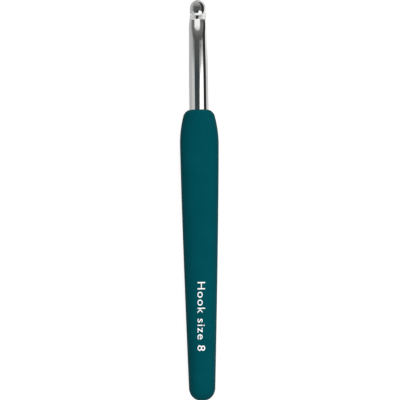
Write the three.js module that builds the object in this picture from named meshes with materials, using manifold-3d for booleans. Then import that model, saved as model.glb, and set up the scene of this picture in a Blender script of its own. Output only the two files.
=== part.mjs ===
// Crochet hook with a soft grip. Millimetres, +Z up.
//
// One metal hook runs from the tip to the middle of the grip. Its thin end, the tang, is held by a
// rigid core, and a soft outer grip is moulded over the core. Nothing moves.
//
// The hook lies on its back: its mouth faces +Z and its tip points to +Y. The origin is on the
// surface that it lies on, below the middle of its length.

import * as THREE from "three";
import { mergeVertices } from "three/addons/utils/BufferGeometryUtils.js";
import Module from "manifold-3d";

const wasm = await Module();
wasm.setup();

// ---------------------------------------------------------------------------
// Driving sizes. "Along" is a distance from the tip towards the butt, and a height is a distance
// above the long axis, towards the mouth.

const fitGap = 0.3; // left between two pieces that touch

// The hook's outside
const shankDiameter = 8; // the size that the hook is sold by
const headDiameter = 6.7;
const domeLength = 3.6; // from the tip to the head's full width
const headLength = 4.5; // from the tip to where the neck starts to widen
const neckDiameter = 7.6; // past the mouth
const neckLength = 10; // over which the head widens to the neck
const swellLength = 23; // over which the neck swells to the shank's full size
const exposedLength = 46; // from the tip to the collar of the grip

// The mouth
const lipReach = 7.3; // along, at the lip's edge
const lipThickness = 0.35; // of the lip's blunt edge
const lipRound = 0.3;
const throatAlong = 6.4; // centre of the throat's round floor
const throatRadius = 1.1;
const throatDepth = 3.65; // of the floor, below the head's outside
const rampFootAlong = 8.5; // where the throat's steep side meets the ramp
const rampFootDepth = 0.72; // below the neck's outside
const rampEndAlong = 13.7; // where the ramp runs out
const rampSag = 0.18; // how far the ramp is hollowed below a straight line

// The tang, inside the grip
const tangDiameter = 5;
const tangLength = 52;
const tangChamfer = 0.6;
const tangFlatWidth = 4; // across the two flats that stop the hook turning
const tangFlatLength = 18;
const tangGrooveAlong = 12; // from the tang's root to its retaining groove
const tangGrooveWidth = 2.4;
const tangGrooveDepth = 0.5;

// The grip
const gripLength = 121;
const gripWidth = 16.1; // at its widest, where the thumb rests
const buttWidth = 10.62; // that the taper reaches at the end, before the end is rounded
const taperPower = 1.28;
const shoulderLength = 14; // from the collar to the widest place
const shoulderDrop = 2.2; // how much narrower each side is at the collar
const flatShare = 0.3; // of the width, flat on the front and on the back
const collarRound = { along: 2.4, across: 2.2 };
const buttRound = { along: 5, across: 4.4 };
const overmouldWall = 1.2;

// The core
const coreWall = 1.1; // round the tang, where the core is thinnest
const coreInset = 5; // from the collar to the core's near end
const buttWall = 4; // of soft material past the core's far end
const lockCount = 5; // grooves that the overmould fills
const lockWidth = 3;
const lockDepth = 0.5;
const lockMargin = 8; // from either end of the core to the outermost groove

// ---------------------------------------------------------------------------
// Sizes that follow

const shankRadius = shankDiameter / 2;
const headRadius = headDiameter / 2;
const neckRadius = neckDiameter / 2;
const neckEnd = headLength + neckLength;
const swellEnd = neckEnd + swellLength;
const tangRadius = tangDiameter / 2;
const overallLength = exposedLength + gripLength;
const gripThickness = tangDiameter + 2 * (fitGap + coreWall + fitGap + overmouldWall);
const coreStart = coreInset; // measured from the collar, as every place on the grip is
const coreEnd = gripLength - buttWall;
const tangRoot = exposedLength + coreStart - fitGap; // where the shank steps down
const tangEnd = tangRoot + tangLength;

// Facets
const roundSegments = 40;
const domeSteps = 8;
const neckSteps = 8;
const swellSteps = 4;
const roundingSteps = 5;
const shoulderSteps = 5;
const taperSteps = 9;
const curveSegments = 10; // along each curve of the mouth's outline
const weldDistance = 1e-4; // corners closer than this are one corner
const quarterTurn = Math.PI / 2;

// ---------------------------------------------------------------------------
// Solids

// Turns a closed three.js geometry into a solid that can be cut and joined.
function solidOf(geometry) {
  const bare = geometry.clone();
  bare.deleteAttribute("normal");
  bare.deleteAttribute("uv");
  const merged = mergeVertices(bare, weldDistance);
  const mesh = new wasm.Mesh({
    numProp: 3,
    vertProperties: merged.attributes.position.array,
    triVerts: new Uint32Array(merged.index.array),
  });
  return new wasm.Manifold(mesh);
}

// Turns a solid back into a geometry to draw.
function geometryOf(solid) {
  const { vertProperties, triVerts } = solid.getMesh();
  const geometry = new THREE.BufferGeometry();
  geometry.setAttribute("position", new THREE.BufferAttribute(vertProperties, 3));
  geometry.setIndex(new THREE.BufferAttribute(triVerts, 1));
  geometry.computeVertexNormals();
  return geometry;
}

// A solid of revolution about the long axis. Each place is { along, radius }, from the tip down.
function turned(places) {
  const points = places.map(({ along, radius }) => new THREE.Vector2(radius, -along));
  return solidOf(new THREE.LatheGeometry(points.reverse(), roundSegments));
}

// A plain cylinder on the long axis.
function rod(radius, from, to) {
  const geometry = new THREE.CylinderGeometry(radius, radius, to - from, roundSegments);
  geometry.translate(0, -(from + to) / 2, 0);
  return solidOf(geometry);
}

// Even steps from one number to another, without the first.
function steps(from, to, count) {
  return Array.from({ length: count }, (_, step) => from + ((to - from) * (step + 1)) / count);
}

// ---------------------------------------------------------------------------
// The hook

// The shank's radius anywhere past the dome, as it widens from the head to the neck, and swells from
// the neck to its full size.
function shankRadiusAt(along) {
  const widened = (neckRadius - headRadius) * THREE.MathUtils.smoothstep(along, headLength, neckEnd);
  const swollen = (shankRadius - neckRadius) * THREE.MathUtils.smoothstep(along, neckEnd, swellEnd);
  return headRadius + widened + swollen;
}

// The tang, or, with room round it, the space that it needs in the core.
function tang(room) {
  const radius = tangRadius + room;
  const grooveFrom = tangRoot + tangGrooveAlong + room;
  const grooveTo = tangRoot + tangGrooveAlong + tangGrooveWidth - room;
  const end = tangEnd + room;
  const body = turned([
    { along: tangRoot - fitGap, radius: 0 },
    { along: tangRoot - fitGap, radius },
    { along: grooveFrom, radius },
    { along: grooveFrom, radius: radius - tangGrooveDepth },
    { along: grooveTo, radius: radius - tangGrooveDepth },
    { along: grooveTo, radius },
    { along: end - tangChamfer, radius },
    { along: end, radius: radius - tangChamfer },
    { along: end, radius: 0 },
  ]);
  const flatFrom = tangEnd - tangFlatLength + room;
  const sliceLength = end - flatFrom + tangChamfer;
  const slice = new THREE.BoxGeometry(tangDiameter, sliceLength, shankDiameter);
  const across = tangFlatWidth / 2 + room + tangDiameter / 2;
  const left = slice.clone().translate(-across, -flatFrom - sliceLength / 2, 0);
  const right = slice.clone().translate(across, -flatFrom - sliceLength / 2, 0);
  return body.subtract(solidOf(left)).subtract(solidOf(right));
}

// Where a line from a point outside the throat's round floor touches it. The side is 1 for the
// touch that lies anticlockwise of the point, and -1 for the other.
function touchAngle(centre, point, side) {
  const offset = point.clone().sub(centre);
  return offset.angle() + side * Math.acos(throatRadius / offset.length());
}

// The mouth's side outline, drawn with along to the right and height upwards, cut right across.
function mouth() {
  const outside = shankDiameter;
  const floor = new THREE.Vector2(throatAlong, headRadius - throatDepth + throatRadius);
  const lip = new THREE.Vector2(lipReach, headRadius - lipThickness);
  const foot = new THREE.Vector2(rampFootAlong, shankRadiusAt(rampFootAlong) - rampFootDepth);
  const top = new THREE.Vector2(rampEndAlong, shankRadiusAt(rampEndAlong));
  const hollow = foot.clone().add(top).multiplyScalar(0.5);
  hollow.y -= 2 * rampSag;
  const past = top.clone().add(top.clone().sub(hollow));
  const undercut = touchAngle(floor, lip, 1);
  const steep = touchAngle(floor, foot, -1);
  const undercutFoot = new THREE.Vector2(Math.cos(undercut), Math.sin(undercut));
  undercutFoot.multiplyScalar(throatRadius).add(floor);
  const lipInner = lip.clone().lerp(undercutFoot, lipRound / lip.distanceTo(undercutFoot));

  const outline = new THREE.Shape();
  outline.moveTo(lip.x, outside);
  outline.lineTo(lip.x, lip.y + lipRound);
  outline.quadraticCurveTo(lip.x, lip.y, lipInner.x, lipInner.y);
  outline.lineTo(undercutFoot.x, undercutFoot.y);
  outline.absarc(floor.x, floor.y, throatRadius, undercut, steep + 2 * Math.PI, false);
  outline.lineTo(foot.x, foot.y);
  outline.quadraticCurveTo(hollow.x, hollow.y, top.x, top.y);
  outline.lineTo(past.x, past.y);
  outline.lineTo(past.x, outside);
  outline.closePath();

  const depth = 2 * shankDiameter;
  const geometry = new THREE.ExtrudeGeometry(outline, { depth, bevelEnabled: false, curveSegments });
  geometry.translate(0, 0, -depth / 2);
  const alongAxis = new THREE.Vector3(0, -1, 0);
  const heightAxis = new THREE.Vector3(0, 0, 1);
  const acrossAxis = new THREE.Vector3(-1, 0, 0);
  geometry.applyMatrix4(new THREE.Matrix4().makeBasis(alongAxis, heightAxis, acrossAxis));
  return solidOf(geometry);
}

function hook() {
  const places = [];
  for (let step = 0; step <= domeSteps; step += 1) {
    const angle = (step / domeSteps) * quarterTurn;
    places.push({ along: domeLength * (1 - Math.cos(angle)), radius: headRadius * Math.sin(angle) });
  }
  const widening = [headLength, ...steps(headLength, neckEnd, neckSteps)];
  const swelling = steps(neckEnd, swellEnd, swellSteps);
  for (const along of [...widening, ...swelling]) {
    places.push({ along, radius: shankRadiusAt(along) });
  }
  places.push({ along: tangRoot, radius: shankRadius });
  places.push({ along: tangRoot, radius: 0 });
  return turned(places).subtract(mouth()).add(tang(0));
}

// ---------------------------------------------------------------------------
// The grip. A station is the grip's section at one distance from the collar: two half ellipses
// joined by a flat on the front and a flat on the back.

function rounding(fromEnd, round) {
  const share = THREE.MathUtils.clamp(1 - fromEnd / round.along, 0, 1);
  return round.across * (1 - Math.sqrt(1 - share * share));
}

// How far inside the outer surface the station lies is its inset.
function station(place, inset) {
  const shoulder = Math.max(0, 1 - place / shoulderLength);
  const taper = Math.max(0, (place - shoulderLength) / (gripLength - shoulderLength));
  const narrowed = shoulderDrop * shoulder ** 2 + ((gripWidth - buttWidth) / 2) * taper ** taperPower;
  const rounded = rounding(place, collarRound) + rounding(gripLength - place, buttRound);
  return {
    place,
    halfWidth: gripWidth / 2 - narrowed - rounded - inset,
    halfThickness: gripThickness / 2 - rounded - inset,
  };
}

// The point of a station's section at an angle from straight up, from 0 to half a turn, on +X.
function sectionPoint({ halfWidth, halfThickness }, angle) {
  const flatHalf = flatShare * halfWidth;
  const flatAngle = (2 * Math.PI) / roundSegments;
  const fromFlat = Math.min(angle, Math.PI - angle);
  if (fromFlat <= flatAngle) {
    const x = (flatHalf * fromFlat) / flatAngle;
    return { x, z: angle < quarterTurn ? halfThickness : -halfThickness };
  }
  const turn = ((angle - flatAngle) / (Math.PI - 2 * flatAngle)) * Math.PI;
  return {
    x: flatHalf + (halfWidth - flatHalf) * Math.sin(turn),
    z: halfThickness * Math.cos(turn),
  };
}

// A solid through a row of stations, made from a turned drum whose rings are pushed to the sections.
function lofted(stations) {
  const rings = [...stations].reverse();
  const first = new THREE.Vector2(0, -rings[0].place);
  const last = new THREE.Vector2(0, -rings[rings.length - 1].place);
  const drum = rings.map(({ place }) => new THREE.Vector2(1, -place));
  const profile = [first, ...drum, last];
  const geometry = new THREE.LatheGeometry(profile, roundSegments);
  const position = geometry.attributes.position;
  const snap = (2 * Math.PI) / roundSegments;
  for (let index = 0; index < position.count; index += 1) {
    const ring = rings[(index % profile.length) - 1];
    if (!ring) continue;
    const exact = Math.atan2(position.getX(index), position.getZ(index));
    const angle = Math.round(exact / snap) * snap;
    const point = sectionPoint(ring, Math.abs(angle));
    position.setX(index, Math.abs(angle) === Math.PI ? 0 : Math.sign(angle) * point.x);
    position.setZ(index, point.z);
  }
  geometry.translate(0, -exposedLength, 0);
  return solidOf(geometry);
}

// Places bunch up towards the end that is rounded.
function roundingPlaces(round) {
  const angles = steps(0, quarterTurn, roundingSteps);
  return [0, ...angles.map((angle) => round.along * (1 - Math.cos(angle)))];
}

function outerStations() {
  const collar = roundingPlaces(collarRound);
  const butt = roundingPlaces(buttRound).map((fromEnd) => gripLength - fromEnd).reverse();
  const shoulder = steps(collarRound.along, shoulderLength, shoulderSteps);
  const taper = steps(shoulderLength, butt[0], taperSteps).slice(0, -1);
  return [...collar, ...shoulder, ...taper, ...butt].map((place) => station(place, 0));
}

// The core's outside, or, with room round it, the hollow that it fills in the soft grip.
function coreShape(room) {
  const inset = overmouldWall + fitGap - room;
  const stations = [station(coreStart - room, inset)];
  const pitch = (coreEnd - coreStart - 2 * lockMargin - lockWidth) / (lockCount - 1);
  for (let lock = 0; lock < lockCount; lock += 1) {
    const from = coreStart + lockMargin + lock * pitch + room;
    const to = from + lockWidth - 2 * room;
    stations.push(station(from, inset));
    stations.push(station(from, inset + lockDepth));
    stations.push(station(to, inset + lockDepth));
    stations.push(station(to, inset));
  }
  stations.push(station(coreEnd + room, inset));
  return lofted(stations);
}

function gripCore() {
  return coreShape(0).subtract(tang(fitGap));
}

function softGrip() {
  const shankHole = rod(shankRadius + fitGap, exposedLength - gripThickness, exposedLength + coreStart);
  return lofted(outerStations()).subtract(coreShape(fitGap)).subtract(shankHole);
}

// ---------------------------------------------------------------------------
// The assembly

function piece(name, solid, color, roughness, metalness) {
  const material = new THREE.MeshStandardMaterial({ color, roughness, metalness });
  const mesh = new THREE.Mesh(geometryOf(solid), material);
  mesh.name = name;
  return mesh;
}

const crochetHook = new THREE.Group();
crochetHook.add(piece("hook", hook(), 0xd5d7d4, 0.2, 1));
crochetHook.add(piece("grip_core", gripCore(), 0x2b2f31, 0.5, 0));
crochetHook.add(piece("soft_grip", softGrip(), 0x00505a, 0.75, 0));
crochetHook.position.set(0, overallLength / 2, gripThickness / 2);

export default crochetHook;
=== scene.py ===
# %% [markdown]
# # A crochet hook with a soft grip
#
# This lesson dresses a packed design model of a crochet hook. The design model holds three parts: the
# metal hook, the rigid core that holds its tang, and the soft outer grip. They are plain faceted solids.
# Here the two parts that show are made again as fine, smooth surfaces of the same size, the size mark is
# printed on the grip, and each part gets its finish.
#
# The design's frame is kept throughout. The hook lies on its back along Y with its tip towards +Y, and
# its mouth opens upwards, towards +Z.

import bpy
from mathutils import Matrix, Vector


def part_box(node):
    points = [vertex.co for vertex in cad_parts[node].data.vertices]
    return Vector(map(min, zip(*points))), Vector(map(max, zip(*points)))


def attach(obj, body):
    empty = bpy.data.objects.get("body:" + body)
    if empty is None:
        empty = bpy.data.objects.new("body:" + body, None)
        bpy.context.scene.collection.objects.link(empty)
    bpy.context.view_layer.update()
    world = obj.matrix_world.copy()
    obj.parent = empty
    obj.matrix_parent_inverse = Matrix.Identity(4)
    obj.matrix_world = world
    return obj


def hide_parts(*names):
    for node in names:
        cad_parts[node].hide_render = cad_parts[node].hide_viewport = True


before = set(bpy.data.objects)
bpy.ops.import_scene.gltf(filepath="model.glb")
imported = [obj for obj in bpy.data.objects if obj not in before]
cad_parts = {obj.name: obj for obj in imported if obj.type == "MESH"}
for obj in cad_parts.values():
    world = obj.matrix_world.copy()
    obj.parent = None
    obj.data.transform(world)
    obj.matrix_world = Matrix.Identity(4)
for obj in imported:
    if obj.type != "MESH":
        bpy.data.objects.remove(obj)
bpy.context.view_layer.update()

# %% Tools
import math
from functools import reduce

import bmesh
import bpy
import numpy as np
from mathutils import Matrix, Vector
from mathutils.bvhtree import BVHTree

MM = 0.001
scene = bpy.context.scene

# %% [markdown]
# ## Where things are
#
# The main places are read from the frame, and finer sizes, such as those of the mouth, are written where
# they are used. "Along" is a distance from the tip towards the butt, in millimetres, because a hook maker
# measures from the tip. "Height" is above the long axis.

# %% Places read from the frame
hook_low, hook_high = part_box("hook")
grip_low, grip_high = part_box("soft_grip")
core_low, core_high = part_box("grip_core")

TIP_Y = hook_high.y
BUTT_Y = grip_low.y
AXIS_Z = (grip_low.z + grip_high.z) / 2
OVERALL = (TIP_Y - BUTT_Y) / MM
SHANK_RADIUS = (hook_high.x - hook_low.x) / 2 / MM
GRIP_HALF_WIDTH = (grip_high.x - grip_low.x) / 2 / MM
GRIP_HALF_THICKNESS = (grip_high.z - grip_low.z) / 2 / MM
CORE_START = (TIP_Y - core_high.y) / MM
CORE_END = (TIP_Y - core_low.y) / MM
HOOK_END = (TIP_Y - hook_low.y) / MM
print("overall", round(OVERALL, 2), "mm, core from", round(CORE_START, 2), "to", round(CORE_END, 2), "mm")


def in_frame(across, along, height):
    """Millimetres across, along and above the axis, as a place in the frame, in metres."""
    return Vector((across * MM, TIP_Y - along * MM, AXIS_Z + height * MM))


# %% Objects and pieces
def placed(name, data):
    """A new object in the scene."""
    thing = bpy.data.objects.new(name, data)
    scene.collection.objects.link(thing)
    return thing


def plain_mesh(carrier):
    """The mesh that an object shows, without the object."""
    bpy.context.view_layer.update()
    evaluated = carrier.evaluated_get(bpy.context.evaluated_depsgraph_get())
    mesh = bpy.data.meshes.new_from_object(evaluated)
    bpy.data.objects.remove(carrier)
    return mesh


def finished(name, mesh, replaced=None, material=None):
    """Links a finished mesh as a piece that rides on the one body of this part."""
    piece = placed(name, mesh)
    if material:
        mesh.materials.clear()
        mesh.materials.append(material)
    mesh.shade_smooth()
    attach(piece, "root")
    if replaced:
        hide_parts(replaced)
    triangles = sum(len(face.vertices) - 2 for face in mesh.polygons)
    print(name, len(mesh.vertices), "vertices,", triangles, "triangles")
    return piece


# %% [markdown]
# ## A small helper for materials
#
# A node material is a graph. These helpers add a node, set its plain values and join its inputs in one
# call, so that each finish below reads as a short recipe.

# %% Node helpers
def set_inputs(tree, node, inputs):
    """Joins each input that is given a socket, and sets each one that is given a plain value."""
    for key, value in inputs.items():
        if isinstance(value, bpy.types.NodeSocket):
            tree.links.new(value, node.inputs[key])
        else:
            node.inputs[key].default_value = value


def add_node(tree, kind, inputs=None, **settings):
    """A node of one kind, with its settings and its inputs."""
    node = tree.nodes.new(kind)
    for key, value in settings.items():
        setattr(node, key, value)
    set_inputs(tree, node, inputs or {})
    return node


def empty_tree(owner):
    """The node tree of a material or a world, with nothing in it."""
    owner.use_nodes = True
    owner.node_tree.nodes.clear()
    return owner.node_tree


def new_material(name):
    """A material with its tree, its shader, and the place on the object that patterns start from."""
    material = bpy.data.materials.new(name)
    tree = empty_tree(material)
    shader = add_node(tree, "ShaderNodeBsdfPrincipled")
    add_node(tree, "ShaderNodeOutputMaterial", {"Surface": shader.outputs["BSDF"]})
    place = add_node(tree, "ShaderNodeTexCoord").outputs["Object"]
    return material, tree, shader, place


# %% Patterns and sums
def noise(tree, place, scale, detail=2.0, roughness=0.5):
    inputs = {"Vector": place, "Scale": scale, "Detail": detail, "Roughness": roughness}
    return add_node(tree, "ShaderNodeTexNoise", inputs).outputs["Fac"]


def streaks(tree, place, scale, detail=2.0, roughness=0.5):
    """Noise with its own scale on each axis, which draws it out into streaks."""
    mapped = add_node(tree, "ShaderNodeMapping", {"Vector": place, "Scale": scale})
    return noise(tree, mapped.outputs["Vector"], 1.0, detail, roughness)


def remap(tree, value, low, high, to_low=0.0, to_high=1.0):
    ends = {"From Min": low, "From Max": high, "To Min": to_low, "To Max": to_high}
    return add_node(tree, "ShaderNodeMapRange", {"Value": value, **ends}).outputs["Result"]


def math_node(tree, operation, first, second=0.0):
    return add_node(tree, "ShaderNodeMath", {0: first, 1: second}, operation=operation).outputs[0]


def plus(tree, first, second):
    return math_node(tree, "ADD", first, second)


def times(tree, first, second):
    return math_node(tree, "MULTIPLY", first, second)


# %% Relief and colours
def relief(tree, height, strength, distance, **more):
    """A surface direction tilted by the slope of a pattern."""
    inputs = {"Height": height, "Strength": strength, "Distance": distance, **more}
    return add_node(tree, "ShaderNodeBump", inputs).outputs["Normal"]


MIX_SHARE, MIX_FIRST, MIX_SECOND, MIX_RESULT = 0, 6, 7, 2  # the colour sockets of a Mix node


def blend_colours(tree, share, first, second):
    inputs = {MIX_SHARE: share, MIX_FIRST: first, MIX_SECOND: second}
    return add_node(tree, "ShaderNodeMix", inputs, data_type="RGBA").outputs[MIX_RESULT]


def point_share(tree, name):
    """A number from 0 to 1 that the mesh carries on each point."""
    return add_node(tree, "ShaderNodeAttribute", attribute_name=name).outputs["Fac"]


# %% [markdown]
# ## Polished aluminium
#
# The shank is turned, then tumbled and polished. Its finish is close to a mirror, but polishing leaves
# very fine lines round the shank and along it, a few handling scratches, and a slight waviness. The
# lines are bump that is stretched along one axis; the waviness is a slow, shallow bump; and roughness
# wanders a little, so that no highlight is perfectly clean.
#
# Two places are not like the rest. The buffing wheel can't reach into the mouth, so its cut faces stay
# pale and satin. The bottom of the throat gets painted shade: it is made nearly black to stand in for
# the shade that falls there. A mask drawn with noise would miss their edges. The mesh is computed, so it
# can say how far each point belongs to either place: the number "milled" and a second number for the
# painted shade ride on its points, and the material only reads them.

# %% Aluminium
def aluminium():
    material, tree, shader, place = new_material("polished_aluminium")
    turning = streaks(tree, place, (260.0, 9000.0, 260.0), detail=3.0)
    drawing = streaks(tree, place, (7000.0, 140.0, 7000.0))
    scratch_bed = streaks(tree, place, (2600.0, 420.0, 2600.0), detail=6.0, roughness=0.7)
    scratches = remap(tree, scratch_bed, 0.66, 0.7)
    smear = noise(tree, place, 210.0, detail=4.0, roughness=0.6)
    roughness = remap(tree, smear, 0.3, 0.7, 0.045, 0.09)
    roughness = plus(tree, roughness, times(tree, scratches, 0.06))
    tint = blend_colours(tree, smear, (0.80, 0.805, 0.80, 1.0), (0.87, 0.87, 0.86, 1.0))
    milled = point_share(tree, "milled")
    tint = blend_colours(tree, milled, tint, (0.94, 0.94, 0.93, 1.0))
    # Painted shade: the bottom of the throat is made nearly black, standing in for the shade that falls
    # there.
    recess_painted_shade = point_share(tree, "recess_painted_shade")
    tint = blend_colours(tree, recess_painted_shade, tint, (0.06, 0.06, 0.058, 1.0))
    roughness = plus(tree, roughness, times(tree, milled, 0.3))
    roughness = plus(tree, roughness, times(tree, recess_painted_shade, 0.3))
    lines = plus(tree, times(tree, turning, 0.5), drawing)
    lines = plus(tree, lines, times(tree, scratches, -0.8))
    wave = streaks(tree, place, (150.0, 60.0, 150.0), detail=1.0)
    fine = relief(tree, lines, 0.035, 0.02 * MM)
    set_inputs(tree, shader, {
        "Base Color": tint,
        "Roughness": roughness,
        "Normal": relief(tree, wave, 0.05, 0.4 * MM, Normal=fine),
        "Metallic": remap(tree, milled, 0.0, 1.0, 1.0, 0.25),
    })
    return material


# %% [markdown]
# ## Soft-touch rubber
#
# The grip is a thermoplastic rubber with a matt, slightly powdery skin, taken from a spark-eroded mould.
# It is one deep teal, a little paler where the light grazes it. A fine pebble and a finer grain make the
# skin, sheen gives the powdery edge, and broad, faint patches stand for handling.

# %% Rubber
def soft_rubber():
    material, tree, shader, place = new_material("soft_touch_rubber")
    patches = noise(tree, place, 90.0, detail=3.0, roughness=0.55)
    grain = noise(tree, place, 9000.0, roughness=0.6)
    pebble_bed = add_node(tree, "ShaderNodeTexVoronoi", {"Vector": place, "Scale": 3800.0})
    pebble = pebble_bed.outputs["Distance"]
    deep = (0.0, 0.058, 0.073, 1.0)
    pale = (0.0004, 0.066, 0.083, 1.0)
    tone = blend_colours(tree, remap(tree, patches, 0.3, 0.7), deep, pale)
    speck = remap(tree, grain, 0.35, 0.65, 0.93, 1.06)
    speckled = add_node(tree, "ShaderNodeVectorMath", {0: tone, 1: speck}, operation="MULTIPLY")
    skin = plus(tree, times(tree, pebble, 0.6), grain)
    set_inputs(tree, shader, {
        "Base Color": speckled.outputs[0],
        "Roughness": remap(tree, patches, 0.3, 0.7, 0.62, 0.72),
        "Normal": relief(tree, skin, 0.32, 0.06 * MM),
        "Specular IOR Level": 0.12,
        "Specular Tint": (0.05, 0.8, 0.9, 1.0),
        "Sheen Weight": 0.03,
        "Sheen Roughness": 0.5,
        "Sheen Tint": (0.1, 0.8, 0.85, 1.0),
    })
    return material


# %% [markdown]
# ## Printing ink and core plastic
#
# The mark is pad-printed in white. Pad printing lays a thin, slightly uneven film, so the ink gets faint
# thin spots and a soft gloss. The core is never seen on the finished hook. It is a glass-filled plastic,
# so it gets a dull grey-black with the short flecks that glass fibre leaves at the skin.

# %% Ink and core plastic
def printing_ink():
    material, tree, shader, place = new_material("printing_ink")
    film = noise(tree, place, 5200.0, detail=4.0, roughness=0.7)
    thin, full = (0.9, 0.92, 0.92, 1.0), (1.0, 1.0, 1.0, 1.0)
    tone = blend_colours(tree, remap(tree, film, 0.35, 0.6), thin, full)
    set_inputs(tree, shader, {
        "Base Color": tone,
        "Roughness": remap(tree, film, 0.3, 0.7, 0.42, 0.58),
        "Normal": relief(tree, film, 0.2, 0.02 * MM),
    })
    return material


def core_plastic():
    material, tree, shader, place = new_material("glass_filled_plastic")
    fleck_bed = streaks(tree, place, (4200.0, 700.0, 4200.0), detail=3.0, roughness=0.7)
    flecks = remap(tree, fleck_bed, 0.6, 0.7)
    tone = blend_colours(tree, flecks, (0.022, 0.025, 0.028, 1.0), (0.07, 0.075, 0.08, 1.0))
    set_inputs(tree, shader, {
        "Base Color": tone,
        "Roughness": remap(tree, fleck_bed, 0.3, 0.7, 0.45, 0.62),
        "Normal": relief(tree, fleck_bed, 0.25, 0.04 * MM),
    })
    return material


# %% [markdown]
# ## The metal hook as a field
#
# A crochet hook is turned to a smooth profile, then its mouth is cut across it, and polishing rolls every
# edge over. It could be made with a boolean and a bevel, but a bevel fails where the cut runs out to
# nothing at the end of the ramp. A field does it in one step: a number for every place, below zero in
# the metal. The turned body and the mouth are two simple fields, and a soft maximum of the two rolls the
# edges over by as much as we like.

# %% The turned body
HEAD_RADIUS = 3.35
DOME_LENGTH = 3.6
HEAD_LENGTH = 5.8  # along, where the head starts to widen
NECK_RADIUS = 3.8
NECK_END = 12.5
SWELL_END = 37.5  # along, where the shank is at its full size
FIT_GAP = 0.3  # between two pieces that touch
TANG_RADIUS = 2.5
TANG_ROOT = CORE_START - FIT_GAP


def smooth_step(value, low, high):
    share = np.clip((value - low) / (high - low), 0.0, 1.0)
    return share * share * (3 - 2 * share)


def neck_radius(along):
    widened = (NECK_RADIUS - HEAD_RADIUS) * smooth_step(along, HEAD_LENGTH, NECK_END)
    swollen = (SHANK_RADIUS - NECK_RADIUS) * smooth_step(along, NECK_END, SWELL_END)
    return HEAD_RADIUS + widened + swollen


def turned_field(across, along, height):
    """How far a place lies outside the turned body, in millimetres, near enough."""
    radius = np.hypot(across, height)
    beyond = np.maximum(DOME_LENGTH - along, 0.0) / DOME_LENGTH
    dome = (np.hypot(radius / HEAD_RADIUS, beyond) - 1.0) * HEAD_RADIUS
    return np.where(along < DOME_LENGTH, dome, radius - neck_radius(along))


for name, radius in (("head", HEAD_RADIUS), ("neck", NECK_RADIUS), ("shank", SHANK_RADIUS)):
    print(name, round(2 * radius, 2), "mm across")


# %% [markdown]
# The mouth is cut straight across, so it is drawn once from the side: the undercut of the lip, the round
# floor of the throat, its steep far side, and the long shallow ramp that leads the yarn in. Its distance
# is measured to a closed outline of short straight pieces, with its corners where the cutter left them.

# %% The mouth's outline
LIP_REACH = 7.6
LIP_THICKNESS = 0.3
THROAT_ALONG = 6.4
THROAT_RADIUS = 1.1
THROAT_DEPTH = 3.65
RAMP_FOOT_ALONG = 8.5
RAMP_FOOT_DEPTH = 0.72
RAMP_END_ALONG = 13.7
RAMP_SAG = 0.18
CLEAR = 9.0  # higher than any metal
THROAT_STEPS = 60
RAMP_STEPS = 24


def touch_angle(centre, point, side):
    """The angle at which a line from a point outside the throat's round floor touches it."""
    offset = point - centre
    return math.atan2(offset[1], offset[0]) + side * math.acos(THROAT_RADIUS / np.hypot(*offset))


def quadratic(start, control, end, count):
    t = np.linspace(0.0, 1.0, count)[:, None]
    return (1 - t) ** 2 * start + 2 * t * (1 - t) * control + t ** 2 * end


def mouth_outline():
    floor = np.array([THROAT_ALONG, HEAD_RADIUS - THROAT_DEPTH + THROAT_RADIUS])
    lip = np.array([LIP_REACH, HEAD_RADIUS - LIP_THICKNESS])
    foot = np.array([RAMP_FOOT_ALONG, neck_radius(RAMP_FOOT_ALONG) - RAMP_FOOT_DEPTH])
    top = np.array([RAMP_END_ALONG, neck_radius(RAMP_END_ALONG)])
    hollow = (foot + top) / 2 - np.array([0.0, 2 * RAMP_SAG])
    past = top + (top - hollow)
    undercut, steep = touch_angle(floor, lip, 1), touch_angle(floor, foot, -1) + 2 * math.pi
    angles = np.linspace(undercut, steep, THROAT_STEPS)
    throat = floor + THROAT_RADIUS * np.column_stack([np.cos(angles), np.sin(angles)])
    ramp = quadratic(foot, hollow, top, RAMP_STEPS)
    rim = [[LIP_REACH, CLEAR], lip]
    return np.vstack([rim, throat, ramp, [past, [past[0], CLEAR]]])


OUTLINE = mouth_outline()
print("mouth outline", len(OUTLINE), "points")

# %% The distance to the outline
TINY = 1e-12


def outline_field(along, height):
    """Signed distance to the mouth's outline, below zero inside the cut.

    The nearest of all the outline's pieces gives the distance. A line drawn from the place crosses the
    outline an odd number of times if the place is inside.
    """
    nearest = np.full(along.shape, np.inf)
    inside = np.zeros(along.shape, bool)
    for (x0, y0), (x1, y1) in zip(OUTLINE, np.roll(OUTLINE, -1, axis=0)):
        ex, ey = x1 - x0, y1 - y0
        length = ex * ex + ey * ey
        if length < TINY:
            continue
        px, py = along - x0, height - y0
        share = np.clip((px * ex + py * ey) / length, 0.0, 1.0)
        nearest = np.minimum(nearest, (px - share * ex) ** 2 + (py - share * ey) ** 2)
        crosses = (y0 > height) != (y1 > height)
        inside ^= crosses & (px < py * ex / (ey if abs(ey) > TINY else TINY))
    return np.where(inside, -1.0, 1.0) * np.sqrt(nearest)


# %% [markdown]
# Polishing wears an edge most where the wheel and the yarn rub most. So the width of the rolled edge
# changes from place to place: wide on the middle of the lip, less wide at its sides and on the ramp, and
# small low down on the throat's side edges. One bevel width could not do that.

# %% Rolled edges
LIP_ROLL = 2.2  # on the middle of the lip
LIP_SIDE_ROLL = 1.3
LIP_MIDDLE_TO = 0.6  # across, where the lip's roll starts to fall off
LIP_SIDE_FROM = 1.9
RAMP_ROLL = 1.6
LOW_ROLL = 0.5  # on the edges low on the sides
LOW_UP_TO = 0.8  # height
TOP_FROM = 2.4


def soft_maximum(first, second, roll):
    """The larger of two fields, with the edge between them rolled over."""
    near = np.maximum(roll - np.abs(first - second), 0.0) / roll
    return np.maximum(first, second) + near ** 3 * roll / 6


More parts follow.
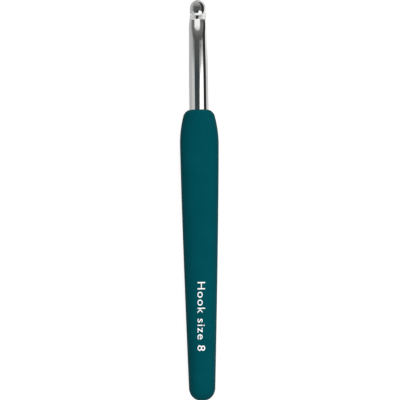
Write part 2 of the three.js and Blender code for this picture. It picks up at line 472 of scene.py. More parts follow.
def edge_roll(across, along, height):
    """How far polishing has rolled the edge over."""
    to_side = smooth_step(np.abs(across), LIP_MIDDLE_TO, LIP_SIDE_FROM)
    lip = LIP_ROLL + (LIP_SIDE_ROLL - LIP_ROLL) * to_side
    front = lip + (RAMP_ROLL - lip) * smooth_step(along, LIP_REACH, RAMP_FOOT_ALONG)
    return LOW_ROLL + (front - LOW_ROLL) * smooth_step(height, LOW_UP_TO, TOP_FROM)


print("edge roll", LIP_ROLL, "mm on the lip,", RAMP_ROLL, "mm on the ramp")

# %% [markdown]
# The tang is hidden in the core. Its two flats stop the hook from turning and its groove stops it from
# sliding. They cost only two more fields, so the hook is whole even where nobody sees it.

# %% The tang and the whole hook
TANG_EDGE_ROLL = 0.2
TANG_END_ROLL = 0.8
ROOT_ROLL = 0.3
TANG_OVERLAP = 1.0  # how far the tang's field reaches into the shank
FLAT_HALF = 2.0
FLAT_LENGTH = 18.0
GROOVE_AT = 12.0
GROOVE_WIDTH = 2.4
GROOVE_DEPTH = 0.5
MOUTH_REACH = 8.0  # past the ramp, where the mouth has no more effect


def tang_field(across, along, height):
    """The thinner end inside the grip, with its groove and its two flats."""
    radius = np.hypot(across, height)
    from_root = along - TANG_ROOT
    groove = np.maximum(np.abs(from_root - GROOVE_AT - GROOVE_WIDTH / 2) - GROOVE_WIDTH / 2, 0.0)
    body = radius - TANG_RADIUS + np.maximum(GROOVE_DEPTH - groove, 0.0)
    flats = np.minimum(np.abs(across) - FLAT_HALF, along - (HOOK_END - FLAT_LENGTH))
    body = soft_maximum(body, flats, TANG_EDGE_ROLL)
    body = soft_maximum(body, along - HOOK_END, TANG_END_ROLL)
    return np.maximum(body, TANG_ROOT - TANG_OVERLAP - along)


def hook_field(places):
    across, along, height = places.T
    body = turned_field(across, along, height)
    mouth = np.full(along.shape, CLEAR)
    near = along < RAMP_END_ALONG + MOUTH_REACH
    mouth[near] = outline_field(along[near], height[near])
    shank = soft_maximum(body, -mouth, edge_roll(across, along, height))
    shank = soft_maximum(shank, along - TANG_ROOT, ROOT_ROLL)
    return np.minimum(shank, tang_field(across, along, height))


# %% [markdown]
# ## From a field to a surface
#
# Surface nets turn the field into a mesh. Space is split into small cubes. Each cube that the surface
# passes through gets one point, and each edge that crosses the surface gets one four-sided face between
# the four cubes round it. Each point is then walked down the field's slope until it lies exactly on the
# surface, so the polish shows no steps.

# %% Which places are metal
BATCHES = 24  # the grid is large, so its values are found part by part


def metal_map(field, low, high, cell):
    """A grid of places over a box, each true inside the metal."""
    counts = np.ceil((high - low) / cell).astype(int) + 1
    axes = [low[k] + cell * np.arange(counts[k]) for k in range(3)]
    grid = np.stack(np.meshgrid(*axes, indexing="ij"), -1).reshape(-1, 3)
    inside = np.empty(len(grid), bool)
    for part in np.array_split(np.arange(len(grid)), BATCHES):
        inside[part] = field(grid[part]) < 0
    return inside.reshape(counts)


def surface_cells(inside):
    """A number for each cell that the surface passes through, and -1 for every other cell."""
    filled = 0
    for corner in np.ndindex(2, 2, 2):
        x, y, z = (slice(c, length - 1 + c) for c, length in zip(corner, inside.shape))
        filled = filled + inside[x, y, z].astype(int)
    active = (filled > 0) & (filled < 8)
    number = np.full(active.shape, -1)
    number[active] = np.arange(active.sum())
    return number


# %% Surface nets
RING = ((1, 1), (0, 1), (0, 0), (1, 0))  # the four cells round an edge, in order


def faces_across(inside, number, axis):
    """One face for each grid edge along an axis that goes through the surface."""
    first, second = [slice(None)] * 3, [slice(None)] * 3
    first[axis], second[axis] = slice(0, -1), slice(1, None)
    start, end = inside[tuple(first)], inside[tuple(second)]
    edges = np.argwhere(start != end)
    u, v = (axis + 1) % 3, (axis + 2) % 3
    edges = edges[(edges[:, u] > 0) & (edges[:, v] > 0)]
    step_u, step_v = np.eye(3, dtype=int)[u], np.eye(3, dtype=int)[v]
    quads = np.column_stack([number[tuple((edges - du * step_u - dv * step_v).T)] for du, dv in RING])
    entering = ~start[tuple(edges.T)]
    quads[entering] = quads[entering][:, ::-1]
    return quads


def surface_net(field, low, high, cell):
    inside = metal_map(field, low, high, cell)
    number = surface_cells(inside)
    points = low + cell * (np.argwhere(number >= 0) + 0.5)
    faces = np.vstack([faces_across(inside, number, axis) for axis in range(3)])
    print("surface net", len(points), "points,", len(faces), "faces")
    return points, faces


# %% Walk the points onto the surface
def slope(field, points, step=1e-3):
    offsets = np.eye(3) * step
    return np.column_stack([(field(points + o) - field(points - o)) / (2 * step) for o in offsets])


def settle(field, points, rounds=5, flattest=1e-6):
    for _ in range(rounds):
        rise = slope(field, points)
        stride = field(points) / np.maximum((rise ** 2).sum(1), flattest)
        points = points - stride[:, None] * rise
    return points


# %% [markdown]
# The two numbers, one for the satin finish and one for the painted shade in the throat, come from the
# same fields. A point is on a cut face if it lies below the turned body. On the ramp the satin patch is a
# rounded rectangle, a little to one side, that fades out along the ramp. The throat's side walls are
# satin too, and the lip is not, because it is polished by every stitch.

# %% Where the mouth is satin
# An edge is a pair of places, where a blend starts and ends.
FACE_HALF_WIDTH = 1.15  # of the patch on the ramp
FACE_LENGTH = 4.7
FACE_SHIFT = 0.3  # to one side
FACE_EDGE = (0.88, 1.12)
FACE_HEIGHT_EDGE = (1.9, 2.5)
FACE_FADE = 0.45
FACE_FADE_EDGE = (0.5, 1.0)
SIDE_EDGE = (0.3, 0.75)  # across, where the throat's side walls start
THROAT_FALL = 0.6
LIP_HEIGHT_EDGE = (1.5, 2.1)
LIP_FALL = 0.3


def satin_share(across, along, height):
    """The ramp's face and the throat's side walls, without the polished lip."""
    down_ramp = np.maximum(along - RAMP_FOOT_ALONG, 0.0) / FACE_LENGTH
    reach = ((across / FACE_HALF_WIDTH) ** 4 + down_ramp ** 4) ** 0.25
    fade = 1 - FACE_FADE * smooth_step(down_ramp, *FACE_FADE_EDGE)
    face = (1 - smooth_step(reach, *FACE_EDGE)) * fade
    sides = smooth_step(np.abs(across), *SIDE_EDGE)
    throat = 1 - smooth_step(along, RAMP_FOOT_ALONG - THROAT_FALL, RAMP_FOOT_ALONG)
    before_edge = 1 - smooth_step(along, LIP_REACH, LIP_REACH + LIP_FALL)
    polished_lip = smooth_step(height, *LIP_HEIGHT_EDGE) * before_edge
    walls = sides * throat * (1 - polished_lip)
    return np.maximum(face * smooth_step(height, *FACE_HEIGHT_EDGE), walls)


# %% Where the throat gets painted shade
RECESS_HALF_WIDTH = 0.75
RECESS_HALF_HEIGHT = 1.7
RECESS_HEIGHT = 0.8  # of its middle
RECESS_EDGE = (0.55, 1.05)
CUT_EDGE = (0.2, 0.35)  # how far below the turned body a face starts to count as cut
PAST_RAMP = 1.0


def painted_recess_shade_share(across, along, height):
    """A soft oval of painted shade in the bottom of the throat."""
    reach = np.hypot(across / RECESS_HALF_WIDTH, (height - RECESS_HEIGHT) / RECESS_HALF_HEIGHT)
    share = 1 - smooth_step(reach, *RECESS_EDGE)
    share[along > RAMP_FOOT_ALONG] = 0.0
    return share


def cut_shares(points):
    """Two numbers from 0 to 1 for each point: how satin it is, and how much painted shade it gets."""
    across, along, height = points.T
    cut = smooth_step(-turned_field(across, along, height), *CUT_EDGE)
    cut[along > RAMP_END_ALONG + PAST_RAMP] = 0.0
    across = across + FACE_SHIFT
    return cut * satin_share(across, along, height), cut * painted_recess_shade_share(across, along, height)


# %% Make the hook
CELL = 0.168
GRID_MARGIN = 0.5


def make_hook():
    side = SHANK_RADIUS + GRID_MARGIN
    low = np.array([-side, -GRID_MARGIN, -side])
    high = np.array([side, HOOK_END + GRID_MARGIN, side])
    points, faces = surface_net(hook_field, low, high, CELL)
    points = settle(hook_field, points)
    across, along, height = points.T
    places = np.column_stack([across * MM, TIP_Y - along * MM, AXIS_Z + height * MM])
    mesh = bpy.data.meshes.new("polished_hook")
    mesh.from_pydata(places.tolist(), [], faces.tolist())
    shell = bmesh.new()
    shell.from_mesh(mesh)
    if shell.calc_volume(signed=True) < 0:
        bmesh.ops.reverse_faces(shell, faces=shell.faces)
    print("hook volume", round(shell.calc_volume() / MM ** 3), "cubic millimetres")
    shell.to_mesh(mesh)
    shell.free()
    # The second number is the mask of painted shade in the throat.
    for name, share in zip(("milled", "recess_painted_shade"), cut_shares(points)):
        mesh.attributes.new(name, "FLOAT", "POINT").data.foreach_set("value", share)
    return finished("polished_hook", mesh, "hook", aluminium())


make_hook()

# %% [markdown]
# ## The soft grip as a rule
#
# The grip's shape is a rule. At each distance from the collar it has a half width and a half thickness,
# and a section that is a little squarer than an ellipse. A Geometry Nodes tree bends a flat grid by that
# rule, so each size stays an input that can be tried. A second grid makes the hollow for the core, and
# the two meet at the collar's rim, which is round because it hugs the shank.

# %% A short way to write sums in a node tree
class Sum:
    """Builds sums of fields as nodes in one Geometry Nodes tree."""

    def __init__(self, tree):
        self.tree = tree

    def op(self, operation, *values):
        inputs = dict(enumerate(values))
        return add_node(self.tree, "ShaderNodeMath", inputs, operation=operation).outputs[0]

    def add(self, *values):
        return reduce(lambda total, value: self.op("ADD", total, value), values)

    def times(self, *values):
        return reduce(lambda total, value: self.op("MULTIPLY", total, value), values)

    def less(self, first, second):
        return self.op("SUBTRACT", first, second)

    def over(self, first, second):
        return self.op("DIVIDE", first, second)

    def power(self, base, exponent):
        return self.op("POWER", base, exponent)

    def clamp(self, value):
        return self.op("MINIMUM", self.op("MAXIMUM", value, 0.0), 1.0)

    def quarter_round(self, share):
        """Rises as a quarter circle, from 0 to 1, as the share goes from 0 to 1."""
        short = self.less(1.0, self.clamp(share))
        return self.op("SQRT", self.less(1.0, self.times(short, short)))


# %% The sizes of the grip
COLLAR_ALONG = 46.0
GRIP_SIZES = {
    "Length": OVERALL - COLLAR_ALONG,
    "Half Width": GRIP_HALF_WIDTH,
    "Half Thickness": GRIP_HALF_THICKNESS,
    "Butt Half Width": 5.31,
    "Taper Power": 1.28,
    "Shoulder Length": 14.0,
    "Shoulder Drop": 2.2,
    "Collar Round": 2.4,
    "Butt Round Along": 5.0,
    "Butt Round Across": 4.4,
    "Rim Radius": SHANK_RADIUS + 0.06,
    "Squareness": 2.35,
    "Wall": 1.2,
    "Core Start": CORE_START - COLLAR_ALONG - FIT_GAP,
    "Core End": CORE_END - COLLAR_ALONG + FIT_GAP,
    "Parting Line": 0.035,
}
print("grip length", round(GRIP_SIZES["Length"], 2), "mm")

# %% A grid that follows a rule
ROUND_COLUMNS = 144
SKIN_ROWS = 240
HOLLOW_ROWS = 40


def named_inputs(tree, sizes):
    """One float input on the tree for each size, with its value as the default."""
    for name, value in sizes.items():
        item = tree.interface.new_socket(name, in_out="INPUT", socket_type="NodeSocketFloat")
        item.default_value = value
    tree.interface.new_socket("Material", in_out="INPUT", socket_type="NodeSocketMaterial")
    tree.interface.new_socket("Geometry", in_out="OUTPUT", socket_type="NodeSocketGeometry")
    return tree.nodes.new("NodeGroupInput").outputs


def bend(tree, rows, place_at):
    """A grid whose points are moved to where the rule puts them. place_at gives x, y and z."""
    counts = {"Vertices X": ROUND_COLUMNS + 1, "Vertices Y": rows}
    grid = add_node(tree, "GeometryNodeMeshGrid", {"Size X": 1.0, "Size Y": 1.0, **counts})
    position = add_node(tree, "GeometryNodeInputPosition").outputs[0]
    split = add_node(tree, "ShaderNodeSeparateXYZ", {0: position}).outputs
    s = Sum(tree)
    turn, share = s.add(split[0], 0.5), s.add(split[1], 0.5)
    places = dict(enumerate(place_at(s, turn, share)))
    moved = add_node(tree, "ShaderNodeCombineXYZ", places).outputs[0]
    inputs = {"Geometry": grid.outputs["Mesh"], "Position": moved}
    return add_node(tree, "GeometryNodeSetPosition", inputs).outputs[0]


# %% The grip's section
SEAM_SHARPNESS = 900.0


def half_sizes(s, size, place, inset, roundness):
    """Half the width and half the thickness at a distance from the collar."""
    shoulder = s.op("MAXIMUM", s.less(1.0, s.over(place, size["Shoulder Length"])), 0.0)
    run = s.less(size["Length"], size["Shoulder Length"])
    taper = s.clamp(s.over(s.less(place, size["Shoulder Length"]), run))
    drop = s.times(size["Shoulder Drop"], shoulder, shoulder)
    narrowing = s.less(size["Half Width"], size["Butt Half Width"])
    gain = s.times(narrowing, s.power(taper, size["Taper Power"]))
    from_butt = s.over(s.less(size["Length"], place), size["Butt Round Along"])
    butt = s.times(size["Butt Round Across"], s.less(1.0, s.quarter_round(from_butt)))
    half_width = s.less(s.less(s.less(s.less(size["Half Width"], drop), gain), butt), inset)
    half_thickness = s.less(s.less(size["Half Thickness"], butt), inset)
    rim = size["Rim Radius"]
    half_width = s.add(rim, s.times(s.less(half_width, rim), roundness))
    half_thickness = s.add(rim, s.times(s.less(half_thickness, rim), roundness))
    return half_width, half_thickness


def section(s, size, turn, place, inset, roundness, parting):
    """The grip's section: across and height at a turn, from 0 to 1, and a distance from the collar."""
    half_width, half_thickness = half_sizes(s, size, place, inset, roundness)
    power = s.over(2.0, s.add(2.0, s.times(s.less(size["Squareness"], 2.0), roundness)))
    angle = s.times(turn, 2 * math.pi)
    sine, cosine = s.op("SINE", angle), s.op("COSINE", angle)
    flat_x = s.times(s.op("SIGN", sine), s.power(s.op("ABSOLUTE", sine), power))
    flat_z = s.times(s.op("SIGN", cosine), s.power(s.op("ABSOLUTE", cosine), power))
    seam = s.power(s.op("ABSOLUTE", sine), SEAM_SHARPNESS)
    half_width = s.add(half_width, s.times(seam, parting))
    return s.times(half_width, flat_x), s.times(half_thickness, flat_z)


# %% The outer skin's rule
LAST_ROW = 0.9999  # the share past which the last row closes to a point
CROWDING = 0.985  # how much closer the rows lie at the collar and the butt


def skin_rule(size):
    """Where the outer skin's points go."""
    def place_at(s, turn, share):
        wave = s.times(s.op("SINE", s.times(share, 2 * math.pi)), CROWDING / (2 * math.pi))
        place = s.times(size["Length"], s.less(share, wave))
        open_butt = s.op("LESS_THAN", share, LAST_ROW)
        roundness = s.quarter_round(s.over(place, size["Collar Round"]))
        parting = s.times(size["Parting Line"], roundness, open_butt)
        across, height = section(s, size, turn, place, 0.0, roundness, parting)
        return s.times(across, open_butt), s.times(place, -1.0), s.times(height, open_butt)
    return place_at


# %% The hollow's rule
SHANK_ROWS = 2  # the hollow's first rows, which hug the shank


def hollow_rule(size):
    """Where the hollow's points go: the rows round the shank, then the rows round the core."""
    def place_at(s, turn, share):
        row = s.times(share, HOLLOW_ROWS - 1)
        in_core = s.op("GREATER_THAN", row, SHANK_ROWS - 0.5)
        along_core = s.clamp(s.over(s.less(row, SHANK_ROWS), HOLLOW_ROWS - SHANK_ROWS - 2))
        length = s.less(size["Core End"], size["Core Start"])
        core_place = s.add(size["Core Start"], s.times(length, along_core))
        neck_place = s.times(size["Core Start"], s.clamp(row))
        place = s.add(s.times(core_place, in_core), s.times(neck_place, s.less(1.0, in_core)))
        open_end = s.op("LESS_THAN", share, LAST_ROW)
        across, height = section(s, size, turn, place, size["Wall"], in_core, 0.0)
        return s.times(across, open_end), s.times(place, -1.0), s.times(height, open_end)
    return place_at


# %% The whole tree
WELD = 0.002


def grip_tree():
    tree = bpy.data.node_groups.new("soft_grip_rule", "GeometryNodeTree")
    size = named_inputs(tree, GRIP_SIZES)
    outer = bend(tree, SKIN_ROWS, skin_rule(size))
    inner = bend(tree, HOLLOW_ROWS, hollow_rule(size))
    flip = add_node(tree, "GeometryNodeFlipFaces", {0: inner})
    join = add_node(tree, "GeometryNodeJoinGeometry", {0: flip.outputs[0]})
    tree.links.new(outer, join.inputs[0])
    welded = {"Geometry": join.outputs[0], "Distance": WELD}
    weld = add_node(tree, "GeometryNodeMergeByDistance", welded)
    real = add_node(tree, "GeometryNodeRealizeInstances", {0: weld.outputs[0]})
    painted = {"Geometry": real.outputs[0], "Material": size["Material"]}
    paint = add_node(tree, "GeometryNodeSetMaterial", painted)
    add_node(tree, "NodeGroupOutput", {0: paint.outputs[0]})
    return tree


# %% Run the tree
def grown(name, tree, values, material):
    """Runs a tree on an empty mesh with its inputs set by identifier, and returns the plain mesh."""
    host = placed(name + "_host", bpy.data.meshes.new(name + "_host"))
    modifier = host.modifiers.new("rule", "NODES")
    modifier.node_group = tree
    for item in tree.interface.items_tree:
        if item.in_out != "INPUT":
            continue
        modifier[item.identifier] = material if item.name == "Material" else values[item.name]
    host.update_tag()
    mesh = plain_mesh(host)
    mesh.name = name
    return mesh


# %% Make the grip
GRIP_WELD = 1e-7  # metres


def make_grip():
    material = soft_rubber()
    mesh = grown("grip_skin", grip_tree(), GRIP_SIZES, material)
    to_frame = Matrix.Translation(in_frame(0.0, COLLAR_ALONG, 0.0))
    mesh.transform(to_frame @ Matrix.Diagonal((MM, MM, MM, 1.0)))
    shell = bmesh.new()
    shell.from_mesh(mesh)
    bmesh.ops.remove_doubles(shell, verts=shell.verts, dist=GRIP_WELD)
    bmesh.ops.recalc_face_normals(shell, faces=shell.faces)
    open_edges = sum(1 for edge in shell.edges if not edge.is_manifold)
    print("grip open edges", open_edges, "volume", round(shell.calc_volume() / MM ** 3))
    shell.to_mesh(mesh)
    shell.free()
    return finished("grip_skin", mesh, "soft_grip", material)


grip_skin = make_grip()

# %% [markdown]
# ## The size mark
#
# Hooks carry their size on the grip, printed along it and seldom quite square to it. The print here is a
# plain size mark. It could be a picture on the grip's material, but then its edges would be only as sharp
# as the picture. So the letters are made as text and turned into a mesh. A letter has few corners, and a
# flat face would cut through the curved grip, so the letters are cut into narrow slices both ways. Then
# each point is dropped straight down onto the grip. The film stands a fiftieth of a millimetre proud.

# %% Letters as a mesh
MARK = "Hook size 8"
LETTER_SPACING = 1.12


def text_mesh(words):
    """The words as a mesh with a little thickness, lying in the plane."""
    curve = bpy.data.curves.new("mark_text", "FONT")
    curve.body = words
    curve.size = 1.0
    curve.space_character = LETTER_SPACING
    curve.extrude = 0.02
    curve.resolution_u = 6
    return plain_mesh(placed("mark_text", curve))


# %% Letters laid on a surface
DROP_HEIGHT = 20.0
DOWN = Vector((0.0, 0.0, -1.0))


def laid_on(surface, mesh, film):
    """Drops points onto a surface below them. Those above the plane stand proud by the film."""
    corners = [vertex.co for vertex in surface.vertices]
    tree = BVHTree.FromPolygons(corners, [tuple(face.vertices) for face in surface.polygons])
    missed = 0
    for vertex in mesh.vertices:
        start = Vector((vertex.co.x, vertex.co.y, AXIS_Z + DROP_HEIGHT * MM))
        hit = tree.ray_cast(start, DOWN)[0]
        if hit is None:
            missed += 1
            continue
        vertex.co.z = hit.z + (film if vertex.co.z > 0 else -film)
    print("mark points", len(mesh.vertices), "missed", missed)


# %% Letters cut into slices
SLICE = 0.2
CUT_WELD = 1e-8  # metres


def sliced(shape, normal, low, high, start):
    """Cuts a shape across at even steps, so that it can bend between the cuts."""
    for cut in np.arange(low + SLICE / 2, high, SLICE):
        everything = [*shape.verts, *shape.edges, *shape.faces]
        place = normal * (start + cut * MM)
        bmesh.ops.bisect_plane(shape, geom=everything, plane_co=place, plane_no=normal, dist=CUT_WELD)


# %% Print the mark
MARK_LENGTH = 28.4
MARK_HEIGHT = 3.2
MARK_MIDDLE = 131.5  # along
MARK_TURN = math.radians(0.66)
INK_FILM = 0.02
LETTER_WELD = 1e-6  # metres


def along_grip(mesh):
    """Stretches the words to the mark's size and lays them along the grip, reading towards the butt."""
    places = np.array([vertex.co for vertex in mesh.vertices])
    low, high = places.min(0), places.max(0)
    middle = (low + high) / 2
    stretch = MARK_LENGTH / (high[0] - low[0])
    rise = MARK_HEIGHT / (high[1] - low[1])
    for vertex in mesh.vertices:
        run, up, proud = vertex.co - Vector(middle)
        run, up = run * stretch, up * rise
        across = up - run * math.tan(MARK_TURN)
        vertex.co = Vector((across * MM, TIP_Y - (MARK_MIDDLE + run) * MM, proud))


def make_mark():
    mesh = text_mesh(MARK)
    along_grip(mesh)
    film = bmesh.new()
    film.from_mesh(mesh)
    bmesh.ops.remove_doubles(film, verts=film.verts, dist=LETTER_WELD)
    half_height, half_length = MARK_HEIGHT / 2, MARK_LENGTH / 2
    sliced(film, Vector((1.0, 0.0, 0.0)), -half_height, half_height, 0.0)
    low, high = MARK_MIDDLE - half_length, MARK_MIDDLE + half_length
    sliced(film, Vector((0.0, -1.0, 0.0)), low, high, -TIP_Y)
    bmesh.ops.triangulate(film, faces=film.faces)
    bmesh.ops.recalc_face_normals(film, faces=film.faces)
    film.to_mesh(mesh)
    film.free()
    laid_on(grip_skin.data, mesh, INK_FILM * MM)
    mesh.name = "size_mark"
    return finished("size_mark", mesh, material=printing_ink())


make_mark()

# %% [markdown]
# ## The core
#
# The soft grip hides the core, so finer work on it would never show. The design's own solid stays as it
# is and only gets its finish, for when the hook is shown taken apart.

# %% The core keeps its shape and gets its finish
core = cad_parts["grip_core"]
core.data.materials.clear()
core.data.materials.append(core_plastic())

# %% [markdown]
# ## The room's light
#
# A polished rod shows the room more than itself, so the light is arranged round the rod's long axis, as
# a product studio does: a dark strip overhead where the camera stands, a bright panel beside it,
# a narrow black flag next to that, and pale walls. Panels and flags could be modelled, but a world whose
# brightness depends on the direction does the same with no objects, and each edge is one number. Two
# angles in degrees give a direction: "around" turns about the rod's long axis, from straight up to the
# right, and "ahead" leans towards the tip.

# %% Angles in the room
def degrees(tree, operation, *values):
    """An angle from an inverse function, in degrees."""
    angle = math_node(tree, operation, *values)
    return times(tree, angle, 180 / math.pi)


def band(tree, value, low, high, soft):
    """1 between low and high, with soft edges."""
    rise = remap(tree, value, low - soft, low + soft)
    fall = remap(tree, value, high - soft, high + soft, 1.0, 0.0)
    return times(tree, rise, fall)


def past(tree, value, limit, rate):
    """How far a value is past a limit, times a rate."""
    beyond = math_node(tree, "MAXIMUM", math_node(tree, "SUBTRACT", value, limit), 0.0)
    return times(tree, beyond, rate)


# %% [markdown]
# The straight shank looks straight up and to both sides. The neck leans a little, so it looks a little
# ahead, where the panel's edge bends away in two steps and gives the shank's highlight its pointed end.

# %% What the shank mirrors
# An edge is a pair of angles, where a blend starts and ends. A band has a soft width as its third.
WALL = (0.62, 0.63, 0.62, 1.0)
DARK_STRIP = (0.045, 0.058, 0.066, 1.0)
STRIP_AROUND = (-49.0, 14.0, 2.0)
PANEL = (1.5, 1.5, 1.5, 1.0)
PANEL_EDGE = (8.5, 11.5)
PANEL_FAR_EDGE = (61.5, 58.5)
LEAN_FROM, LEAN = 5.4, -3.0
SLANT_FROM, SLANT = 7.8, -11.0
FLAG = (0.03, 0.03, 0.028, 1.0)
FLAG_AROUND = (60.0, 97.0, 2.0)


def beside_shank(tree, around, ahead):
    """Pale walls, the dark strip, the bright panel with its bent edge, and the black flag."""
    colour = blend_colours(tree, band(tree, around, *STRIP_AROUND), WALL, DARK_STRIP)
    slant = past(tree, ahead, SLANT_FROM, SLANT)
    lean = past(tree, ahead, LEAN_FROM, LEAN)
    edge = plus(tree, around, plus(tree, slant, lean))
    panel = remap(tree, edge, *PANEL_EDGE)
    panel = times(tree, panel, remap(tree, around, *PANEL_FAR_EDGE))
    colour = blend_colours(tree, panel, colour, PANEL)
    return blend_colours(tree, band(tree, around, *FLAG_AROUND), colour, FLAG)


# %% [markdown]
# The dome looks far ahead, over the panel's end, at a room that is dark near the table and paler higher
# up. The edge of the lip faces the other way. It looks back over the grip at a bright ceiling, a dark
# gap and a low bright skirt, and the ceiling gives it its white crescent.

# %% What the dome and the lip mirror
LOW_ROOM = (0.10, 0.102, 0.10, 1.0)
HIGH_ROOM = (0.38, 0.38, 0.37, 1.0)
ROOM_RISE = (12.0, 55.0)
ROOM_AROUND = (-66.0, 44.0, 5.0)
FAR_WALL = (0.34, 0.34, 0.33, 1.0)
FAR_FLAG = (0.035, 0.035, 0.033, 1.0)
FAR_FLAG_AROUND = (48.0, 97.0, 4.0)
CEILING = (1.1, 1.1, 1.1, 1.0)
CEILING_EDGE = (30.0, 36.0)
GAP = (0.07, 0.072, 0.07, 1.0)
SKIRT = (0.55, 0.55, 0.54, 1.0)
SKIRT_EDGE = (20.0, 16.0)
BRIGHT_SKIRT_EDGE = (-50.0, -56.0)


def beyond_tip(tree, around, ahead):
    middle = blend_colours(tree, remap(tree, ahead, *ROOM_RISE), LOW_ROOM, HIGH_ROOM)
    colour = blend_colours(tree, band(tree, around, *ROOM_AROUND), FAR_WALL, middle)
    return blend_colours(tree, band(tree, around, *FAR_FLAG_AROUND), colour, FAR_FLAG)


def behind_lip(tree, around, upward):
    colour = blend_colours(tree, remap(tree, upward, *CEILING_EDGE), GAP, CEILING)
    skirt = blend_colours(tree, remap(tree, around, *BRIGHT_SKIRT_EDGE), SKIRT, CEILING)
    return blend_colours(tree, remap(tree, upward, *SKIRT_EDGE), colour, skirt)


# %% [markdown]
# The matt grip doesn't need that pattern. Scattered rays see one broad soft lamp instead, above, a little
# to the right and towards the tip, which fades out to all sides, so the grip is shaded evenly from edge
# to edge. The camera's own rays, which miss the floor when it looks from low down, see plain white. The
# Light Path node tells the three kinds of ray apart.

# %% The soft lamp
LAMP_DIRECTION = (0.28, 0.3, 0.912)
LAMP_FOCUS = 3.0
LAMP_STRENGTH = 2.9
FILL = 0.12


def soft_lamp(tree, ray):
    both = {0: ray, 1: LAMP_DIRECTION}
    toward = add_node(tree, "ShaderNodeVectorMath", both, operation="DOT_PRODUCT").outputs["Value"]
    toward = math_node(tree, "MAXIMUM", toward, 0.0)
    return remap(tree, math_node(tree, "POWER", toward, LAMP_FOCUS), 0.0, 1.0, FILL, LAMP_STRENGTH)


# %% The whole room
TIP_EDGE = (8.5, 10.1)  # ahead, where the room beyond the tip starts
BACK_EDGE = (2.0, -2.0)
WHITE = (1.0, 1.0, 1.0, 1.0)


def mirrored_room(tree, ray):
    split = add_node(tree, "ShaderNodeSeparateXYZ", {0: ray}).outputs
    around = degrees(tree, "ARCTAN2", split["X"], split["Z"])
    ahead = degrees(tree, "ARCSINE", split["Y"])
    upward = degrees(tree, "ARCSINE", split["Z"])
    near, far = beside_shank(tree, around, ahead), beyond_tip(tree, around, ahead)
    colour = blend_colours(tree, remap(tree, ahead, *TIP_EDGE), near, far)
    back = behind_lip(tree, around, upward)
    return blend_colours(tree, remap(tree, ahead, *BACK_EDGE), colour, back)


def light_room():
    scene.world = bpy.data.worlds.new("studio")
    tree = empty_tree(scene.world)
    ray = add_node(tree, "ShaderNodeTexCoord").outputs["Generated"]
    path = add_node(tree, "ShaderNodeLightPath").outputs
    scattered = path["Is Diffuse Ray"]
    colour = blend_colours(tree, path["Is Camera Ray"], mirrored_room(tree, ray), WHITE)
    colour = blend_colours(tree, scattered, colour, WHITE)
    soft = times(tree, soft_lamp(tree, ray), scattered)
    strength = plus(tree, soft, math_node(tree, "SUBTRACT", 1.0, scattered))
    background = add_node(tree, "ShaderNodeBackground", {"Color": colour, "Strength": strength})
    add_node(tree, "ShaderNodeOutputWorld", {"Surface": background.outputs[0]})
    print("studio light", len(tree.nodes), "nodes")


light_room()

# %% [markdown]
# ## The floor
#
# The floor is a white paper sweep. Paper under a lamp strong enough to make it plain white would throw
# too much light up onto the sides of the grip, so the paper is a mid grey and glows a little for the
# camera alone. A polished rod mirrors the paper too: it is brighter to the right and beside the tip, and
# past the edge of a black card on the right it shows almost nothing. Only glossy rays see that.

# %% How the floor looks and what it gives back
PAPER = (0.3, 0.3, 0.3, 1.0)
PALE_PAPER = (0.32, 0.32, 0.32, 1.0)
PAPER_SCALE = 30.0
GLOW = 0.8
RIGHT_EDGE = (0.0, 4 * MM)
TIP_PATCH_RISE = (58 * MM, 72 * MM)
TIP_PATCH_FALL = (84 * MM, 79 * MM)
MIRRORED = 0.5
MIRRORED_RIGHT = 0.2
MIRRORED_TIP = 0.4
CARD_EDGE = (36 * MM, 44 * MM)
CARD_LEVEL = 0.04


def paper_seen(tree, place, camera_ray):
    """Matt paper, with a little glow for the camera alone."""
    tone = blend_colours(tree, noise(tree, place, PAPER_SCALE), PAPER, PALE_PAPER)
    matt = add_node(tree, "ShaderNodeBsdfDiffuse", {"Color": tone})
    glow = add_node(tree, "ShaderNodeEmission", {"Strength": times(tree, camera_ray, GLOW)})
    both = {0: matt.outputs[0], 1: glow.outputs[0]}
    return add_node(tree, "ShaderNodeAddShader", both).outputs[0]


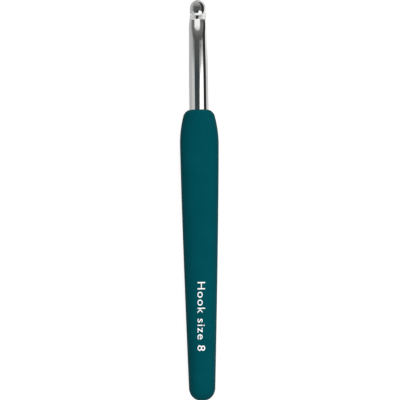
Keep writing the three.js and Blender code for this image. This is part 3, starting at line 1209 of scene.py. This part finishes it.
def paper_mirrored(tree, place):
    """Brighter on the right and beside the tip, and nearly black past the edge of the card."""
    split = add_node(tree, "ShaderNodeSeparateXYZ", {0: place}).outputs
    right = remap(tree, split["X"], *RIGHT_EDGE)
    rise = remap(tree, split["Y"], *TIP_PATCH_RISE)
    fall = remap(tree, split["Y"], *TIP_PATCH_FALL)
    by_tip = times(tree, right, times(tree, rise, fall))
    level = plus(tree, MIRRORED, times(tree, right, MIRRORED_RIGHT))
    level = plus(tree, level, times(tree, by_tip, MIRRORED_TIP))
    card = remap(tree, split["X"], *CARD_EDGE, 1.0, CARD_LEVEL)
    strength = times(tree, level, card)
    return add_node(tree, "ShaderNodeEmission", {"Strength": strength}).outputs[0]


# %% Lay the floor
FLOOR_HALF = 1.5
CORNERS = ((-1, -1), (1, -1), (1, 1), (-1, 1))


def make_floor():
    mesh = bpy.data.meshes.new("floor")
    corners = [(x * FLOOR_HALF, y * FLOOR_HALF, 0) for x, y in CORNERS]
    mesh.from_pydata(corners, [], [(0, 1, 2, 3)])
    floor = placed("floor", mesh)
    material = bpy.data.materials.new("white_sweep")
    tree = empty_tree(material)
    place = add_node(tree, "ShaderNodeTexCoord").outputs["Object"]
    path = add_node(tree, "ShaderNodeLightPath").outputs
    seen = paper_seen(tree, place, path["Is Camera Ray"])
    mirrored = paper_mirrored(tree, place)
    both = add_node(tree, "ShaderNodeMixShader", {0: path["Is Glossy Ray"], 1: seen, 2: mirrored})
    add_node(tree, "ShaderNodeOutputMaterial", {"Surface": both.outputs[0]})
    mesh.materials.append(material)


make_floor()

# %% [markdown]
# ## The camera
#
# The camera looks straight down, as on a copy stand, from far enough for the hook to fill the frame with
# little perspective. The hook lies a little out of square in the frame, so the camera is rolled. The
# plain Standard view keeps white paper white, where a filmic one would turn it grey.

# %% The camera
CAMERA_DISTANCE = 420.0
ROLL = math.radians(0.663)
FRAME_HEIGHT = 167.0
SENSOR_WIDTH = 36.0


def make_camera():
    data = bpy.data.cameras.new("camera")
    camera = placed("camera", data)
    data.sensor_width = SENSOR_WIDTH
    data.lens = SENSOR_WIDTH * CAMERA_DISTANCE / FRAME_HEIGHT
    data.clip_start = 0.01
    data.clip_end = 10.0
    camera.location = in_frame(0.0, OVERALL / 2, CAMERA_DISTANCE)
    camera.rotation_euler = (0.0, 0.0, -ROLL)
    scene.camera = camera
    print("lens", round(data.lens, 1), "mm")


make_camera()
scene.view_settings.view_transform = "Standard"
scene.view_settings.look = "None"
